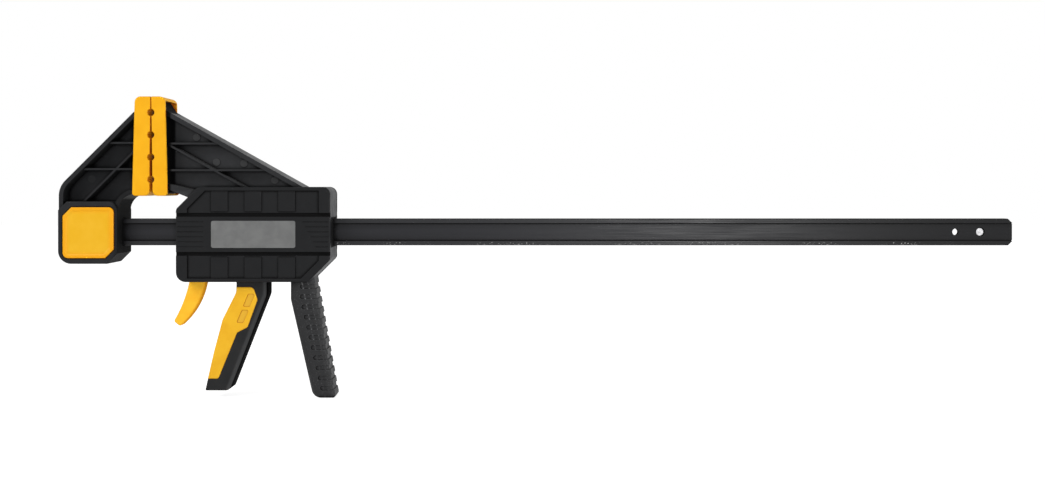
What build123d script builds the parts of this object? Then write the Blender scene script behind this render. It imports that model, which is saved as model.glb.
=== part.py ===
from build123d import *
from math import cos, radians, sin, tan
import os

# Quick release bar clamp, 600 mm opening.
#
# The frame: +X runs along the bar from the pads to the stop pin, +Z from the bar up to the jaw
# tips, +Y from the front cover to the rear cover. The origin is on the bar's centre line, in the
# plane where the two pads meet. Every size is in millimetres.
#
# Profiles are drawn on Plane.XZ, whose normal is -Y: an offset of 10 is 10 mm to the front.

# ------------------------------------------------------------------ driving dimensions

# Clearances
run_gap = 0.3            # between pieces that slide or swing past each other
pin_gap = 0.05           # radial, round a pin that something turns on
fit_gap = 0.05           # round a piece that is pressed, clipped or screwed into a seat

# Steel bar, an I-section
clamp_opening = 600.0    # between the pads with the head wound right back
travel_spare = 2.7       # the head goes this much further before it meets the stop pin
bar_height = 25.0
bar_width = 9.0
bar_flange = 4.2
bar_web = 4.4
bar_edge = 0.8
bar_corner = 5.0
bar_tail = 29.6          # from a stop pin to the bar's end, alike at both ends
stop_pin_radius = 4.0
pin_chamfer = 0.5
pin_sink = 1.6           # how far the pins' front ends lie below the web
hang_hole_radius = 3.2
hang_hole_pitch = 23.2   # from the stop pin to the hole beside it

# Soft pads and the head plates that carry them
pad_top = 125.8
pad_foot = 33.9
pad_front = 6.0          # in front of the head plate
pad_toe = 1.5            # how far the foot stands back from the clamping plane
moving_lip = (12.9, 15.2)   # from the clamping plane to the lips' back edge, top and foot
fixed_lip = (15.0, 17.5)
pad_lip_round = 3.0
pad_side = 2.3
pad_cap = 4.0
pad_sole = 2.0
pad_corner = 5.5
pad_foot_corner = 5.0
pad_edge = 1.0
pad_bead = 0.8           # the inward bead that clips behind the head plate
groove_radius = 3.3
groove_count = 4
groove_top = 110.9
groove_pitch = 20.6
head_plate = 7.0
plate_tip = 1.5          # its thickness at the very top

# Both jaws are I-beams with thin cross ribs
jaw_width = 32.0
jaw_web = 4.0
jaw_rib = 1.8
rib_drop = 1.5           # from the flange's edge down to the rib's edge
mark_radius = 3.6
mark_height = 0.4

# Fixed jaw
throat_depth = 31.0      # from the clamping plane to the block's inner face
fixed_slope_top = 115.1  # where the 45 degree flange meets the back of the head plate
fixed_flange = 4.0
fixed_back_round = 20.0
neck_round = 16.0
fixed_rib_heights = (83.0, 58.7)
fixed_brace_rise = 92.1  # height of the 45 degree brace above the clamping plane
block_length = 54.8
block_height = 57.6
block_width = 37.0
block_wall = 3.8
block_chamfer = 9.5
block_round = 12.0
block_edge = 1.2

# Release button of the fixed jaw and its latch
button_side = 47.0
button_chamfer = 8.0
button_round = 5.0
button_offset = 0.8      # from the block's middle towards the pads
button_gap = 0.7
button_proud = 0.8
button_face = 3.0
button_wall = 2.0
button_dish = 0.5
button_dish_taper = 70.0
button_edge = 0.8
button_travel = 3.5
button_stop = 1.0        # left under the skirt when the button is pressed right in
leg_width = 16.0
leg_thick = 3.0
socket_wall = 2.5
latch_thick = 2.0
catch_length = 8.0
cap_thick = 3.0
cap_ledge = 7.5
button_wire = 0.9
button_coil_radius = 7.0
button_coil_turns = 2

# Small screws
screw_radius = 1.7
screw_head_radius = 3.4
screw_head_height = 2.0
cross_width = 1.1
cross_depth = 1.3

# Moving head: housing
housing_left = 23.7
housing_length = 142.1
housing_top = 42.2
housing_bottom = -45.4
housing_chamfer = 20.4
housing_round = 9.0
housing_corner = 5.0
housing_shoulder = 7.0   # round of the upper right corner
cover_thick = 5.0
cover_wall = 3.0
cover_edge = 1.2
cover_overhang = 0.2     # how far the covers stand out round the frame
frame_wall = 4.0
guide_front = 12.0
guide_rear = 15.0
guide_wall = 3.6

# Relief on the covers
panel_inset = 10.4       # from the cover's left and right edges
panel_margin = 3.3       # from the cover's top and bottom edges
panel_cut = 16.5
panel_depth = 0.9
panel_step = 0.45        # alternate fields stand this much higher
field_count = 7
field_pitch = 15.5
field_notch = 1.4
band_half = 16.2         # half the height of the plain band along the bar
band_middle = -1.4       # height of the band's middle line
groove_width = 3.5
groove_depth = 2.0
line_count = 6
line_width = 0.9
line_depth = 0.5
line_pitch = 4.6
line_inset = 1.6
line_length = 24.0
line_lean = 12.0         # how far the lines' right-hand starts lean
label_length = 77.5
label_height = 24.9
label_left = 32.6        # from the housing's left side
label_round = 2.0
label_thick = 0.8

# Moving head: arm
arm_slope = 29.25
arm_slope_top = 113.2    # where the sloping flange meets the back of the head plate
arm_flange = 4.2
arm_lower_top = 45.7     # where the lower flange's inside meets the head plate
arm_rib_heights = (82.4, 57.7)
arm_marks = ((37.4, 88.6), (56.1, 65.4), (81.9, 64.2), (110.8, 48.5))

# Moving head: fixed handle
handle_inset = 38.4      # from the housing's right side to the handle's front
handle_depth = 22.6      # from front to back at the housing's bottom
handle_knee = -62.4      # above it the front of the handle is upright
handle_bottom = -153.9
handle_front_lean = 12.95
handle_back_lean = 10.2
handle_width = 30.0
handle_round = 6.0
handle_toe = 9.0         # round of the lower front corner, seen from the side
handle_foot = 2.5
ridge_count = 11
ridge_pitch = 9.4
ridge_first = -50.0
ridge_cut = 4.6
ridge_depth = 1.1
ridge_margin = 9.3       # from the handle's front to the grooves' ends

# Screws of the housing
boss_radius = 4.5
boss_sink = 0.5          # how deep each boss stands in the wall beside it
boss_front_inset = 40.3  # from the housing's left side to the upper left boss
boss_rear_inset = 24.8   # from the housing's right side to the upper right boss
boss_low_inset = 43.3    # from the housing's left side to the lower left boss
screw_tip = 18.8         # how far in front of the middle the cover screws reach

# Squeeze lever
pivot_x = 98.0
pivot_z = 28.0
pivot_radius = 4.0
pivot_boss = 8.5
pivot_seat_radius = 7.5
pin_end = 17.4           # half the pin's length
lever_width = 23.0
grip_width = 24.0
lever_edge = 1.2
lever_left = 77.0        # where the lever leaves the housing
lever_right = 105.9
lever_front_knee = -55.5
lever_back_knee = -58.0
lever_waist = (64.2, -81.0)
lever_belly = (56.2, -111.0)
lever_foot = -147.0
lever_foot_left = 48.0
lever_foot_right = 71.0
lever_knee_round = 12.0
lever_waist_round = 12.0
lever_foot_round = 6.0
lever_back_edge = 5.0    # round of the two long edges at the back
grip_top = -50.7
grip_foot = -136.0
grip_points = ((93.0, -50.7), (97.0, -62.5), (87.6, -88.3), (77.9, -93.2), (60.5, -136.0))
grip_round = 3.0
grip_shoulder = 5.0      # round of the grip's upper corner
dimple_places = ((88.9, -63.0), (83.0, -78.0))
dimple_length = 13.0
dimple_width = 6.0
dimple_lean = 1.2        # how far a dimple's long sides are shifted each way
dimple_round = 1.2
dimple_depth = 0.5
dimple_turn = 67.0
lever_swing = 14.0
cheek_gap = 1.3          # from the bar's side to a cheek
cheek_thick = 4.0
nose_radius = 3.0
nose_ahead = 10.7        # from the pivot to the nose's centre, along the bar
nose_drop = 12.0
fork_floor = -18.0       # the fork's floor, below the bar
fork_right = 101.5
lever_shoulder = -36.0   # above it the lever narrows to the fork
grip_skin = 3.0

# Drive plates and spring
plate_thick = 2.5
plate_count = 2
plate_height_up = 20.5
plate_height_down = 18.0
plate_side = 4.0
plate_gap = 0.4
drive_wire = 1.8
drive_turns = 3

# Release trigger with its brake plate
brake_x = 50.6           # the plate's upper end, which it swings on
brake_z = 35.5
brake_tilt = 8.0
brake_thick = 3.0
brake_side = 3.6
brake_hole_spare = 0.9
brake_tail_width = 8.0
brake_tail_end = 98.0    # length below the pivot
trigger_width = 12.0
trigger_slack = 1.5      # behind the trigger when it is pulled right back
trigger_edge = 1.5
trigger_tip_round = 2.4
trigger_left = 31.6      # where the trigger leaves the housing
trigger_right = 46.6
trigger_top = -36.0
trigger_front = (25.8, -65.3)
trigger_tip_front = (16.9, -83.4)
trigger_tip_back = (22.9, -88.2)
trigger_back = (39.6, -67.2)
notch_rib = 2.2
notch_depth = 4.5
brake_coil_radius = 3.6
brake_wire = 0.9
brake_coil_turns = 3
brake_coil_drop = 24.0   # below the bar's centre line
spring_rib = 3.0

# ------------------------------------------------------------------ derived places

bar_half = bar_height / 2
side_half = bar_width / 2
web_half = bar_web / 2
channel_half = bar_half - bar_flange

jaw_half = jaw_width / 2
rib_half = jaw_half - rib_drop
pad_half = jaw_half + fit_gap + pad_side
plate_back = pad_front + head_plate
plate_top = pad_top - pad_cap
plate_foot = pad_foot + pad_sole

block_half = block_height / 2
block_side = block_width / 2
block_right = -throat_depth
block_left = block_right - block_length
button_x = (block_left + block_right) / 2 + button_offset

housing_right = housing_left + housing_length
cover_face = jaw_half + cover_thick
frame_left = housing_left + cover_overhang
frame_right = housing_right - cover_overhang
frame_top = housing_top - cover_overhang
frame_bottom = housing_bottom + cover_overhang
handle_front = housing_right - handle_inset
handle_back = handle_front + handle_depth

bar_left = block_left + block_wall
left_pin_x = bar_left + bar_tail
stop_pin_x = frame_right + clamp_opening + travel_spare + run_gap + stop_pin_radius
bar_right = stop_pin_x + bar_tail
hang_hole_x = stop_pin_x - hang_hole_pitch

cheek_outer = side_half + cheek_gap + cheek_thick
plate_half_width = side_half + brake_hole_spare + brake_side
guide_half = bar_half + run_gap + guide_wall
boss_top_z = frame_top - frame_wall - boss_radius + boss_sink
boss_bottom_z = frame_bottom + frame_wall + boss_radius - boss_sink
boss_rear_z = boss_sink - boss_radius - guide_half
boss_places = (
    (housing_left + boss_front_inset, boss_top_z),
    (housing_right - boss_rear_inset, boss_top_z),
    (housing_left + boss_low_inset, boss_bottom_z),
    (frame_right - guide_rear + boss_radius, boss_rear_z),
)
screw_seat = cover_face - screw_head_height - panel_depth / 2
lever_back = lever_right - pivot_x
lever_drop = (pivot_z - housing_bottom) * tan(radians(lever_swing))
lever_sweep = lever_drop + lever_back / cos(radians(lever_swing)) - lever_back
trigger_sweep = (brake_z - housing_bottom) * sin(radians(brake_tilt))
brake_fall = tan(radians(brake_tilt))
brake_reach = brake_thick / 2 / cos(radians(brake_tilt))
notch_left = brake_x - brake_reach - notch_depth * brake_fall - run_gap
notch_right = brake_x + brake_thick / 2 + run_gap
coil_top = brake_z + brake_coil_drop - brake_coil_radius - brake_wire / 2
brake_spring_x = brake_x - coil_top * brake_fall + brake_reach + fit_gap
spring_seat_x = trigger_right + trigger_sweep + trigger_slack
spring_rib_top = brake_coil_radius + brake_wire - brake_coil_drop
spring_rib_half = brake_coil_radius + brake_wire

parts_folder = "parts"
os.makedirs(parts_folder, exist_ok=True)


def save(piece, name):
    """Label a finished piece and write its STEP file."""
    piece.part.label = name
    export_step(piece.part, f"{parts_folder}/{name}.step")


def corner(x, z):
    """The vertex of the open sketch that lies nearest to a point."""
    return vertices().sort_by_distance((x, z))[0]


def bar_profile(gap):
    """The bar's I-section on the open YZ sketch, grown by a gap all round."""
    Rectangle(bar_width + 2 * gap, bar_height + 2 * gap)
    channel = (bar_width - bar_web) / 2
    with Locations((-web_half - gap - channel / 2, 0), (web_half + gap + channel / 2, 0)):
        Rectangle(channel, 2 * (channel_half - gap), mode=Mode.SUBTRACT)


# ------------------------------------------------------------------ bar

with BuildPart() as bar:
    with BuildSketch(Plane.YZ.offset(bar_left)):
        bar_profile(0)
        outer = vertices().filter_by_position(Axis.Y, -bar_half, -bar_half)
        outer += vertices().filter_by_position(Axis.Y, bar_half, bar_half)
        fillet(outer, bar_edge)
    extrude(amount=bar_right - bar_left)
    with BuildSketch(Plane.XZ):
        for x, inward in ((bar_left, 1), (bar_right, -1)):
            for z in (-bar_half, bar_half):
                toward = -1 if z > 0 else 1
                Polygon((x, z), (x + inward * bar_corner, z), (x, z + toward * bar_corner), align=None)
    extrude(amount=bar_width, both=True, mode=Mode.SUBTRACT)
    with BuildSketch(Plane.XZ):
        with Locations((left_pin_x, 0), (stop_pin_x, 0)):
            Circle(stop_pin_radius)
        with Locations((hang_hole_x, 0)):
            Circle(hang_hole_radius)
    extrude(amount=bar_width, both=True, mode=Mode.SUBTRACT)
save(bar, "bar")

with BuildPart() as stop_pins:
    with BuildSketch(Plane.XZ.offset(-side_half)):
        with Locations((left_pin_x, 0), (stop_pin_x, 0)):
            Circle(stop_pin_radius - fit_gap)
    extrude(amount=side_half + web_half - pin_sink)
    chamfer(edges().filter_by(GeomType.CIRCLE), pin_chamfer)
save(stop_pins, "stop_pins")

# ------------------------------------------------------------------ soft pads


def jaw_pad(lip):
    """A pad for the moving jaw: a cap that is open at the back, with half-round grooves across it."""
    lip_top, lip_foot = lip
    with BuildPart() as pad:
        with BuildSketch(Plane.XZ):
            Polygon(
                (fit_gap, pad_top),
                (lip_top, pad_top),
                (lip_foot, pad_foot),
                (pad_toe, pad_foot),
                align=None,
            )
            fillet(corner(lip_top, pad_top), pad_corner)
            fillet(corner(lip_foot, pad_foot), pad_lip_round)
            fillet(corner(pad_toe, pad_foot), pad_foot_corner)
            fillet(corner(fit_gap, pad_top), pad_edge)
        extrude(amount=pad_half, both=True)
        fillet(edges().filter_by(lambda e: abs(e.center().Y) > pad_half - fit_gap), pad_edge)
        with BuildSketch(Plane.XZ):
            with Locations(((pad_front + lip_foot + pad_edge) / 2, (plate_top + plate_foot) / 2)):
                Rectangle(lip_foot + pad_edge - pad_front, plate_top - plate_foot)
        extrude(amount=jaw_half + fit_gap, both=True, mode=Mode.SUBTRACT)
        # The sole ends flush with the back of the head plate
        with BuildSketch(Plane.XZ):
            with Locations((plate_back + fit_gap + lip_foot / 2, (pad_foot + plate_foot) / 2)):
                Rectangle(lip_foot, plate_foot - pad_foot)
        extrude(amount=jaw_half + fit_gap, both=True, mode=Mode.SUBTRACT)
        bead_height = (plate_top - plate_foot) / 4
        bead_x = plate_back + fit_gap + pad_bead / 2
        for side in (-1, 1):
            with BuildSketch(Plane.XY.offset(plate_foot + bead_height / 2)):
                with Locations((bead_x, side * (jaw_half + fit_gap - pad_bead / 2))):
                    Rectangle(pad_bead, pad_bead)
            extrude(amount=bead_height)
        with BuildSketch(Plane.XZ):
            for i in range(groove_count):
                with Locations((0, groove_top - i * groove_pitch)):
                    Circle(groove_radius)
        extrude(amount=pad_half, both=True, mode=Mode.SUBTRACT)
    return pad


moving_jaw_pad = jaw_pad(moving_lip)
save(moving_jaw_pad, "moving_jaw_pad")

with BuildPart() as fixed_jaw_pad:
    add(mirror(jaw_pad(fixed_lip).part, about=Plane.YZ))
save(fixed_jaw_pad, "fixed_jaw_pad")

# ------------------------------------------------------------------ fixed jaw

slope_foot = fixed_slope_top - (-plate_back - block_left)
neck_limit = throat_depth - plate_back - fit_gap
neck_outer = min(neck_round, neck_limit)
neck_inner = min(neck_round + fixed_flange, neck_limit + fixed_flange)
catch_left = left_pin_x + stop_pin_radius + run_gap
leg_left = left_pin_x - leg_width / 2
leg_inner = bar_half + 2 * run_gap
leg_outer = leg_inner + leg_thick
socket_side = side_half + run_gap
pocket_floor = socket_side + socket_wall
latch_front = pocket_floor + run_gap
latch_back = latch_front + latch_thick
catch_right = catch_left + catch_length
latch_middle = (leg_left + catch_right) / 2
latch_length = catch_right - leg_left
latch_height = 2 * leg_outer
well_length = latch_length + 2 * run_gap
well_height = latch_height + 2 * run_gap
cap_length = well_length + cap_ledge
cap_height = well_height + 2 * cap_ledge
cap_screw_z = (well_height + cap_ledge) / 2
cap_inner = block_side - cap_thick


def button_outline(grow):
    """The button's outline on the open XZ sketch, with two chamfered and two round corners."""
    half = button_side / 2 + grow
    cut = button_chamfer + grow * (2 - 2 ** 0.5)
    with Locations((button_x, 0)):
        Rectangle(2 * half, 2 * half)
    chamfer([corner(button_x - half, half), corner(button_x + half, -half)], cut)
    fillet([corner(button_x + half, half), corner(button_x - half, -half)], button_round + grow)


def fixed_inside():
    """The hollow between the fixed jaw's flanges, on the open XZ sketch."""
    inner_left = block_left + fixed_flange
    inner_right = block_right - fixed_flange
    drop = fixed_flange * 2 ** 0.5
    Polygon(
        (-plate_back, fixed_slope_top - drop),
        (inner_left, slope_foot - drop + fixed_flange),
        (inner_left, 0),
        (inner_right, 0),
        (inner_right, plate_foot + fixed_flange),
        (-plate_back, plate_foot + fixed_flange),
        align=None,
    )
    fillet(corner(inner_left, slope_foot - drop + fixed_flange), fixed_back_round - fixed_flange)
    fillet(corner(inner_right, plate_foot + fixed_flange), neck_inner)


def fixed_ribs():
    """The two level ribs and the 45 degree brace, on the open XZ sketch."""
    with Locations(*[(-block_length / 2, z) for z in fixed_rib_heights]):
        Rectangle(2 * block_length, jaw_rib)
    with Locations(Location((-fixed_brace_rise / 2, fixed_brace_rise / 2), 45)):
        Rectangle(2 * fixed_brace_rise, jaw_rib)


with BuildPart() as fixed_jaw:
    with BuildSketch(Plane.XZ):
        Polygon(
            (-pad_front, plate_foot),
            (-pad_front, plate_top),
            (-pad_front - plate_tip, plate_top),
            (-plate_back, fixed_slope_top),
            (block_left, slope_foot),
            (block_left, -block_half),
            (block_right, -block_half),
            (block_right, plate_foot),
            align=None,
        )
        fillet(corner(block_left, slope_foot), fixed_back_round)
        fillet(corner(block_left, -block_half), block_round)
        chamfer(corner(block_right, -block_half), block_chamfer)
        fillet(corner(block_right, plate_foot), neck_outer)
    extrude(amount=jaw_half, both=True)
    # The hollows beside the web, first down to the ribs and then between them
    for side in (1, -1):
        with BuildSketch(Plane.XZ.offset(side * rib_half)):
            fixed_inside()
        extrude(amount=side * rib_drop, mode=Mode.SUBTRACT)
        with BuildSketch(Plane.XZ.offset(side * jaw_web / 2)):
            fixed_inside()
            with BuildSketch(mode=Mode.SUBTRACT):
                fixed_ribs()
        extrude(amount=side * (rib_half - jaw_web / 2), mode=Mode.SUBTRACT)
    # The block that holds the bar's end
    with BuildSketch(Plane.XZ):
        with Locations(((block_left + block_right) / 2, 0)):
            Rectangle(block_length, block_height)
        chamfer(corner(block_left, block_half), button_chamfer)
        chamfer(corner(block_right, -block_half), block_chamfer)
        fillet(corner(block_left, -block_half), block_round)
        fillet(corner(block_right, block_half), button_round + block_wall)
    extrude(amount=block_side, both=True)
    rims = edges().filter_by(lambda e: abs(abs(e.center().Y) - block_side) < fit_gap)
    fillet(rims, block_edge)
    # Socket for the bar, open towards the pads
    with BuildSketch(Plane.YZ.offset(bar_left - fit_gap)):
        Rectangle(2 * socket_side, bar_height + 2 * run_gap)
    extrude(amount=block_length, mode=Mode.SUBTRACT)
    # Front pocket for the button
    with BuildSketch(Plane.XZ.offset(pocket_floor)):
        button_outline(button_gap)
    extrude(amount=block_side, mode=Mode.SUBTRACT)
    # Passages for the button's two legs, above and below the bar
    with BuildSketch(Plane.XZ):
        with Locations((leg_left + leg_width / 2, 0)):
            Rectangle(leg_width + 2 * run_gap, 2 * (leg_outer + run_gap))
    extrude(amount=pocket_floor + run_gap, both=True, mode=Mode.SUBTRACT)
    # Rear well for the latch plate, with a ledge for its cap
    with BuildSketch(Plane.XZ.offset(-pocket_floor)):
        with Locations((latch_middle, 0)):
            Rectangle(well_length, well_height)
    extrude(amount=-block_side, mode=Mode.SUBTRACT)
    with BuildSketch(Plane.XZ.offset(-cap_inner)):
        with Locations((latch_middle, 0)):
            RectangleRounded(cap_length + 2 * fit_gap, cap_height + 2 * fit_gap, button_round)
    extrude(amount=-block_side, mode=Mode.SUBTRACT)
    with BuildSketch(Plane.XZ):
        with Locations(((catch_left + catch_right) / 2, 0)):
            Rectangle(catch_length + 2 * run_gap, 2 * channel_half)
    extrude(amount=-block_side, mode=Mode.SUBTRACT)
    with BuildSketch(Plane.XZ.offset(-side_half)):
        with Locations((latch_middle, cap_screw_z), (latch_middle, -cap_screw_z)):
            Circle(screw_radius + fit_gap)
    extrude(amount=-block_side, mode=Mode.SUBTRACT)
save(fixed_jaw, "fixed_jaw")

# ------------------------------------------------------------------ release button and latch

button_front = block_side + button_proud
button_inner = button_front - button_face
button_skirt = button_inner - pocket_floor - button_travel - button_stop
rivet_radius = leg_thick / 4
rivet_z = leg_inner + leg_thick / 2

with BuildPart() as release_button:
    with BuildSketch(Plane.XZ.offset(button_inner - button_skirt)):
        button_outline(0)
    extrude(amount=button_skirt + button_face)
    fillet(faces().sort_by(Axis.Y)[0].edges(), button_edge)
    with BuildSketch(Plane.XZ.offset(button_front - button_dish)):
        button_outline(-button_wall * 2)
    extrude(amount=button_dish, taper=-button_dish_taper, mode=Mode.SUBTRACT)
    with BuildSketch(Plane.XZ.offset(button_inner - button_skirt)):
        button_outline(-button_wall)
    extrude(amount=button_skirt, mode=Mode.SUBTRACT)
    for side in (-1, 1):
        with BuildSketch(Plane.XZ.offset(-latch_front)):
            with Locations((leg_left + leg_width / 2, side * rivet_z)):
                Rectangle(leg_width, leg_thick)
        extrude(amount=latch_front + button_inner)
    with BuildSketch(Plane.XZ.offset(-latch_front)):
        with Locations((left_pin_x, rivet_z), (left_pin_x, -rivet_z)):
            Circle(rivet_radius + fit_gap)
    extrude(amount=latch_front, mode=Mode.SUBTRACT)
save(release_button, "release_button")

with BuildPart() as latch_plate:
    with BuildSketch(Plane.XZ.offset(-latch_front)):
        with Locations((latch_middle, 0)):
            Rectangle(latch_length, latch_height)
        chamfer(vertices(), pin_chamfer)
        with Locations((left_pin_x, rivet_z), (left_pin_x, -rivet_z)):
            Circle(rivet_radius + fit_gap, mode=Mode.SUBTRACT)
    extrude(amount=-latch_thick)
    with BuildSketch(Plane.XZ.offset(-web_half - run_gap)):
        with Locations(((catch_left + catch_right) / 2, 0)):
            Rectangle(catch_length, 2 * (channel_half - 2 * run_gap))
    extrude(amount=-(latch_front - web_half - run_gap))
save(latch_plate, "latch_plate")

with BuildPart() as latch_rivets:
    for side in (-1, 1):
        with BuildSketch(Plane.XZ.offset(-latch_back)):
            with Locations((left_pin_x, side * rivet_z)):
                Circle(2 * rivet_radius)
        extrude(amount=-rivet_radius)
        with BuildSketch(Plane.XZ.offset(-latch_back)):
            with Locations((left_pin_x, side * rivet_z)):
                Circle(rivet_radius)
        extrude(amount=latch_back - fit_gap)
save(latch_rivets, "latch_rivets")


def coil(start, direction, radius, wire, turns, length):
    """A compression spring of flat wire, from a start point along a direction."""
    path = Helix(
        pitch=(length - wire) / turns,
        height=length - wire,
        radius=radius,
        center=start + direction * (wire / 2),
        direction=direction,
    )
    with BuildPart() as spring:
        with BuildLine():
            add(path)
        outward = (path @ 0) - start - direction * (wire / 2)
        with BuildSketch(Plane(origin=path @ 0, x_dir=outward, z_dir=path % 0)):
            Rectangle(wire, wire)
        sweep(path=path, is_frenet=True)
    return spring


spring_length = cap_inner - latch_back
button_spring = coil(
    Vector(latch_middle, latch_back, 0),
    Vector(0, 1, 0),
    button_coil_radius,
    button_wire,
    button_coil_turns,
    spring_length,
)
save(button_spring, "button_spring")

with BuildPart() as jaw_back_cap:
    with BuildSketch(Plane.XZ.offset(-cap_inner)):
        with Locations((latch_middle, 0)):
            RectangleRounded(cap_length, cap_height, button_round)
    extrude(amount=-cap_thick)
    chamfer(faces().sort_by(Axis.Y)[-1].edges(), pin_chamfer)
    with BuildSketch(Plane.XZ.offset(-cap_inner)):
        with Locations((latch_middle, cap_screw_z), (latch_middle, -cap_screw_z)):
            Circle(screw_radius + fit_gap)
    extrude(amount=-cap_thick, mode=Mode.SUBTRACT)
    with BuildSketch(Plane.XZ.offset(-block_side)):
        with Locations((latch_middle, cap_screw_z), (latch_middle, -cap_screw_z)):
            Circle(screw_head_radius + fit_gap)
    extrude(amount=cap_thick / 2, mode=Mode.SUBTRACT)
save(jaw_back_cap, "jaw_back_cap")


def screws(places, seat, length):
    """Pan head screws along Y, seated at a depth, with a cross recess in each head."""
    with BuildPart() as group:
        with BuildSketch(Plane.XZ.offset(-seat)):
            with Locations(*places):
                Circle(screw_head_radius)
        extrude(amount=-screw_head_height)
        chamfer(faces().sort_by(Axis.Y)[-len(places):].edges(), pin_chamfer)
        with BuildSketch(Plane.XZ.offset(-seat)):
            with Locations(*places):
                Circle(screw_radius)
        extrude(amount=length)
        with BuildSketch(Plane.XZ.offset(-seat - screw_head_height)):
            with Locations(*places):
                Rectangle(screw_head_radius, cross_width)
                Rectangle(cross_width, screw_head_radius)
        extrude(amount=cross_depth, mode=Mode.SUBTRACT)
    return group


jaw_cap_screws = screws(
    ((latch_middle, cap_screw_z), (latch_middle, -cap_screw_z)),
    block_side - cap_thick / 2,
    block_side - cap_thick / 2 - side_half - fit_gap,
)
save(jaw_cap_screws, "jaw_cap_screws")

# ------------------------------------------------------------------ moving head: frame

arm_fall = tan(radians(arm_slope))
arm_thick = arm_flange / cos(radians(arm_slope))


def arm_line(x, start):
    """Height at x of a line parallel to the arm's slope that starts at the head plate's back."""
    return start - (x - plate_back) * arm_fall


def housing_outline(inset):
    """The housing's outline on the open XZ sketch, drawn in by an inset."""
    left = housing_left + inset
    right = housing_right - inset
    top = housing_top - inset
    bottom = housing_bottom + inset
    cut = housing_chamfer - inset * (2 - 2 ** 0.5)
    Polygon((left, bottom), (right, bottom), (right, top), (left, top), align=None)
    chamfer([corner(left, top), corner(right, bottom)], cut)
    fillet(corner(left, bottom), housing_round - inset)
    fillet(corner(right, top), housing_shoulder - inset)
    fillet([corner(left, top - cut), corner(left + cut, top)], housing_corner)
    fillet([corner(right, bottom + cut), corner(right - cut, bottom)], housing_corner)


def handle_front_at(z):
    """Where the handle's front lies at a height: upright, and sloping below the knee."""
    return handle_front + max(handle_knee - z, 0) * tan(radians(handle_front_lean))


def handle_back_at(z):
    """Where the handle's sloping back lies at a height."""
    return handle_back + (frame_bottom - z) * tan(radians(handle_back_lean))


def handle_body(inset):
    """The handle with rounded edges, drawn in by an inset on its sides and back."""
    foot_front = handle_front_at(handle_bottom)
    root = frame_bottom + frame_wall
    with BuildPart() as handle:
        with BuildSketch(Plane.XZ):
            Polygon(
                (handle_front, root),
                (handle_front, handle_knee),
                (foot_front, handle_bottom),
                (handle_back_at(handle_bottom) - inset, handle_bottom),
                (handle_back_at(root) - inset, root),
                align=None,
            )
            fillet(corner(handle_front, handle_knee), handle_round)
            fillet(corner(foot_front, handle_bottom), handle_toe)
        extrude(amount=handle_width / 2 - inset, both=True)
        sides = edges().filter_by(lambda e: abs(e.center().Y) > fit_gap and e.center().Z < root - fit_gap)
        fillet(sides, handle_round - inset)
        heel = edges().filter_by(lambda e: e.center().X > handle_back_at(handle_bottom) - inset - handle_round)
        fillet(heel.filter_by(lambda e: e.center().Z < handle_bottom + handle_round), handle_foot - inset)
    return handle


with BuildPart() as handle_grooves:
    with BuildSketch(Plane.XZ):
        for i in range(ridge_count):
            z = ridge_first - i * ridge_pitch
            reach = handle_back_at(z) - handle_front_at(z) - ridge_margin
            with Locations((handle_back_at(z), z)):
                SlotOverall(2 * reach, ridge_cut)
    extrude(amount=handle_width, both=True)
    add(handle_body(ridge_depth).part, mode=Mode.SUBTRACT)

arm_end = housing_right - housing_chamfer

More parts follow.
